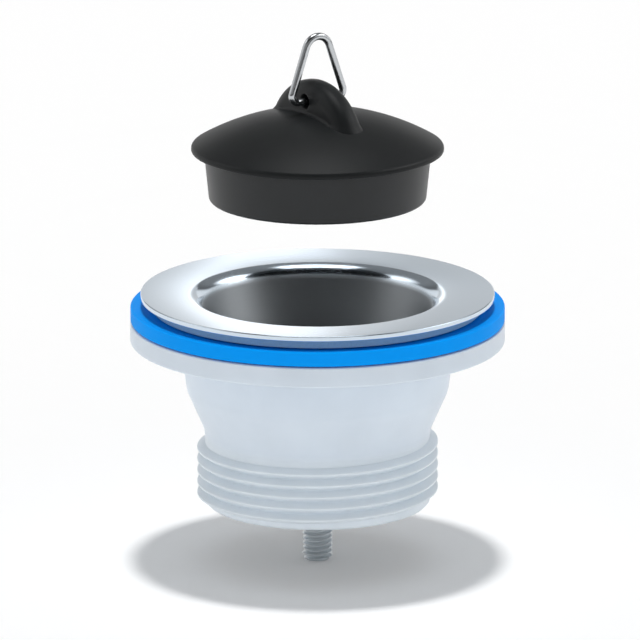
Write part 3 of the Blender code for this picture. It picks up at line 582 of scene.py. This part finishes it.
middle = Vector((0.0, 0.0, DOME_CENTRE)) * MM
flares = []
for vertex in lug.verts:
    outward = (vertex.co - middle).normalized()
    above = min(max((vertex.co - middle).length / MM - DOME_BEND, 0.0), LUG_BLEND)
    swell = LUG_BLEND - math.sqrt(LUG_BLEND ** 2 - (LUG_BLEND - above) ** 2)
    flares.append((vertex.normal - vertex.normal.project(outward)) * swell * MM)
for vertex, flare in zip(lug.verts, flares):
    vertex.co += flare
bmesh.ops.translate(lug, vec=(0.0, 0.0, PLUG_LEVEL * MM), verts=lug.verts[:])
finished(lug, "rubber_lug", matt_shaded_rubber, "plug", "plug")

# PLUG LINK
# Bright steel wire, 1.5 thick, bent to a triangle; its two ends turn in and meet in the lug's hole.
# A round section is drawn along one half, spun round each bend, and mirrored.

WIRE, LINK_HALF, LINK_HEIGHT, LINK_GAP = 0.75, 5.9, 12.75, 0.8
CORNER_BEND, APEX_BEND, WIRE_FACETS, WIRE_STEPS = 1.4, 2.8, 24, 20
LINK_AT = PLUG_LEVEL + EYE_HEIGHT

# Stainless wire, drawn bright: a near mirror, broken up a little by marks of the die and of the bending.
wire_steel, tree, shader, place = substance("stainless_wire_drawn")
grain = add(tree, "TexNoise", {"Vector": place, "Scale": 2500.0, "Detail": 3.0, "Roughness": 0.6})
gloss = add(tree, "MapRange", {"Value": grain.outputs["Fac"], "To Min": 0.12, "To Max": 0.24})
relief = add(tree, "Bump", {"Height": grain.outputs["Fac"], "Strength": 0.1, "Distance": 0.01 * MM})
give(tree, shader, {
    "Base Color": colour("#C4C7CA"), "Metallic": 1.0,
    "Roughness": gloss.outputs["Result"], "Normal": relief.outputs["Normal"]})

corner = Vector((LINK_HALF - CORNER_BEND, 0.0, CORNER_BEND))
apex = Vector((0.0, 0.0, LINK_HEIGHT - APEX_BEND))
span = apex - corner
leg = math.atan2(span.z, span.x) - math.acos((CORNER_BEND - APEX_BEND) / span.length)
leg_length = math.sqrt(span.length ** 2 - (CORNER_BEND - APEX_BEND) ** 2)
link = bmesh.new()
bmesh.ops.create_circle(
    link, segments=WIRE_FACETS, radius=WIRE * MM, cap_ends=True,
    matrix=Matrix.Translation((LINK_GAP / 2 * MM, 0.0, 0.0)) @ Matrix.Rotation(math.pi / 2, 4, "Y"))
edges = link.edges[:]
for length, way, centre, sweep in (
        (LINK_HALF - CORNER_BEND - LINK_GAP / 2, (1.0, 0.0, 0.0), corner, math.pi / 2 + leg),
        (leg_length, (-math.sin(leg), 0.0, math.cos(leg)), apex, math.pi / 2 - leg)):
    made = bmesh.ops.extrude_edge_only(link, edges=edges)["geom"]
    bmesh.ops.translate(link, vec=Vector(way) * length * MM, verts=only(BMVert, made))
    edges = [edge for edge in only(BMEdge, made) if edge.is_boundary]
    made = bmesh.ops.spin(
        link, geom=edges, cent=centre * MM, axis=(0.0, -1.0, 0.0), angle=sweep, steps=WIRE_STEPS)["geom_last"]
    edges = only(BMEdge, made)
bmesh.ops.mirror(
    link, geom=link.verts[:] + link.edges[:] + link.faces[:], axis="X", merge_dist=SAME * MM)
bmesh.ops.translate(link, vec=(0.0, 0.0, LINK_AT * MM), verts=link.verts[:])
finished(link, "wire_link", wire_steel, "link", "plug_link", 40)

# SETTING
# Not part of the object: a pale floor that the screw's end stands on, a soft surround with one lamp
# overhead, what polished metal reflects of the studio, and the camera at the photograph's angle.

HEADING, DIP, DISTANCE, PIXELS_PER_MM = math.radians(33), math.radians(14.7), 1.7, 5.062
AIM, AIM_PIXEL, PICTURE = Vector((0.0, 0.0, 0.93)) * MM, (317.6, 291.9), 640
AWAY = Vector((math.sin(HEADING), math.cos(HEADING), 0.0))
ASIDE = Vector((math.cos(HEADING), -math.sin(HEADING), 0.0))
WHITE = (1.0, 1.0, 1.0, 1.0)
STAGE_HALF, STAGE_GAP = 3000.0, 0.05
CARD_DISTANCE, CARD_HALF, CARD_BASE, CARD_TOP, CARD_FULL = 250.0, 50.0, -50.0, 97.0, 2.0
CARD_MARKS = ((-45, 0.60), (-31, 0.79), (-25, 0.97), (-19, 1.5), (-6, 1.5), (0, 1.3), (7, 0.87), (20, 0.64))
LAMP_SHARE, LAMP_SPREAD = 0.53, math.radians(6)

# A matt white floor, solid from above and open from beneath, so that the object's underside can be seen.
floor_white, tree, shader, _ = substance("floor_white")
give(tree, shader, {"Base Color": WHITE, "Roughness": 1.0, "Specular IOR Level": 0.0})
beneath = add(tree, "NewGeometry").outputs["Backfacing"]
opening = add(tree, "BsdfTransparent").outputs["BSDF"]
one_sided = add(tree, "MixShader", {0: beneath, 1: shader.outputs["BSDF"], 2: opening})
give(tree, tree.nodes["Material Output"], {"Surface": one_sided.outputs["Shader"]})
floor = bmesh.new()
bmesh.ops.create_grid(
    floor, x_segments=1, y_segments=1, size=STAGE_HALF * MM,
    matrix=Matrix.Translation((0.0, 0.0, (SCREW_END - STAGE_GAP) * MM)))
stage = settle(floor, "floor", floor_white)

# A low graded card close behind the object, which shows in gloss alone: bright left of the middle. A
# ramp's colours stop at 1, so a mark's level is a share of CARD_FULL, which the strength makes good.
graded, tree, _, place = substance("graded_card")
across = add(tree, "VectorMath", {0: place, 1: ASIDE}, operation="DOT_PRODUCT").outputs["Value"]
along = add(tree, "MapRange", {"Value": across, "From Min": -CARD_HALF * MM, "From Max": CARD_HALF * MM})
ramp = add(tree, "ValToRGB", {"Fac": along.outputs["Result"]}, [
    ((mark + CARD_HALF) / (2 * CARD_HALF), (level / CARD_FULL,) * 3 + (1.0,)) for mark, level in CARD_MARKS])
glow = add(tree, "Emission", {"Color": ramp.outputs["Color"], "Strength": CARD_FULL})
give(tree, tree.nodes["Material Output"], {"Surface": glow.outputs["Emission"]})
card = bmesh.new()
bmesh.ops.create_grid(card, x_segments=1, y_segments=1, size=1.0)
bmesh.ops.scale(card, vec=(CARD_HALF * MM, (CARD_TOP - CARD_BASE) / 2 * MM, 1.0), verts=card.verts[:])
bmesh.ops.rotate(card, matrix=Matrix.Rotation(math.pi / 2, 3, "X"), verts=card.verts[:])
bmesh.ops.rotate(card, matrix=Matrix.Rotation(-HEADING, 3, "Z"), verts=card.verts[:])
card_middle = Vector((0.0, 0.0, (CARD_BASE + CARD_TOP) / 2)) * MM
bmesh.ops.translate(card, vec=AWAY * CARD_DISTANCE * MM + card_middle, verts=card.verts[:])
reflector = settle(card, "card", graded)
for ray in ("camera", "diffuse", "transmission", "volume_scatter", "shadow"):
    setattr(reflector, "visible_" + ray, False)

world = bpy.data.worlds.new("surround")
bpy.context.scene.world = world
world.use_nodes = True
tree = world.node_tree
toward = add(tree, "TexCoord").outputs["Generated"]
height = add(tree, "SeparateXYZ", {"Vector": toward}).outputs["Z"]
away = add(tree, "VectorMath", {0: toward, 1: AWAY}, operation="DOT_PRODUCT").outputs["Value"]
aside = add(tree, "VectorMath", {0: toward, 1: ASIDE}, operation="DOT_PRODUCT").outputs["Value"]
sideways = add(tree, "Math", {0: aside}, operation="ABSOLUTE").outputs["Value"]


def lit(*fades, share=1.0):
    """How strong a light of the surround is in each direction: a share times all its soft fades.

    A fade gives a value, where it starts and ends, and how strong the light is at the two.
    """
    for value, start, end, low, high in fades:
        fade = add(tree, "MapRange", {
            "Value": value, "From Min": start, "From Max": end, "To Min": low, "To Max": high},
            interpolation_type="SMOOTHSTEP").outputs["Result"]
        share = add(tree, "Math", {0: fade, 1: share}, operation="MULTIPLY").outputs["Value"]
    return share


# In gloss a low pale band runs right round the room, faintest in front and lowest behind, so that from
# low down the rim is grey or light on every side. Over it are a light at each side, the right one
# brighter, a dim ceiling, and a bright patch overhead.
top = add(tree, "Math", {0: height, 1: lit((away, 0.2, 0.8, 0.25, 0.0))}, operation="SUBTRACT")
foot = lit((away, -0.6, 0.0, 1.0, 6.0), share=height)
band = lit(
    (away, -0.8, 0.2, 0.3, 0.9), (top.outputs["Value"], 0.25, 0.35, 1.0, 0.0), (foot, 0.1, 0.2, 0.0, 1.0))
sides = lit(
    (sideways, 0.5, 0.8, 0.0, 1.0), (height, 0.4, 0.7, 0.0, 4.4), (away, -0.9, 0.7, 0.0, 1.8),
    (aside, -0.9, 0.9, 0.42, 1.0))
ceiling = lit((away, -0.5, 0.6, 0.05, 0.24), (height, 0.3, 0.5, 0.4, 1.0))
patch = lit(
    (sideways, 0.18, 0.28, 1.0, 0.0), (away, -0.12, -0.02, 0.0, 1.0), (away, 0.26, 0.46, 1.0, 0.0),
    (height, 0.5, 0.8, 0.0, 4.5))
gloss = band
for other, operation in ((sides, "MAXIMUM"), (ceiling, "MAXIMUM"), (patch, "ADD")):
    gloss = add(tree, "Math", {0: gloss, 1: other}, operation=operation).outputs["Value"]

# Everything matt is lit by a plain surround, dimmer overhead, and the camera sees white behind it all.
plain = lit((height, 0.3, 0.75, 1.0, 0.25))
paths = add(tree, "LightPath").outputs
surround = add(tree, "Mix", {"Factor": paths["Is Glossy Ray"], "A": plain, "B": gloss}).outputs["Result"]
seen = add(tree, "Math", {0: surround, 1: paths["Is Camera Ray"]}, operation="MAXIMUM").outputs["Value"]
give(tree, tree.nodes["Background"], {"Color": WHITE, "Strength": seen})

overhead = bpy.data.lights.new("overhead", "SUN")
overhead.energy = LAMP_SHARE * math.pi
overhead.angle = LAMP_SPREAD
lamp = bpy.data.objects.new("overhead", overhead)
bpy.context.scene.collection.objects.link(lamp)
lamp.visible_glossy = False

forward = AWAY * math.cos(DIP) + Vector((0.0, 0.0, -math.sin(DIP)))
up = ASIDE.cross(forward)
lens = bpy.data.cameras.new("camera")
lens.lens = PIXELS_PER_MM * DISTANCE / MM * lens.sensor_width / PICTURE
lens.clip_end = 10.0
camera = bpy.data.objects.new("camera", lens)
camera.location = (
    AIM - forward * DISTANCE + ASIDE * (PICTURE / 2 - AIM_PIXEL[0]) / PIXELS_PER_MM * MM
    + up * (AIM_PIXEL[1] - PICTURE / 2) / PIXELS_PER_MM * MM)
camera.rotation_euler = forward.to_track_quat("-Z", "Y").to_euler()
bpy.context.scene.collection.objects.link(camera)
bpy.context.scene.camera = camera
bpy.context.scene.view_settings.view_transform = "Standard"
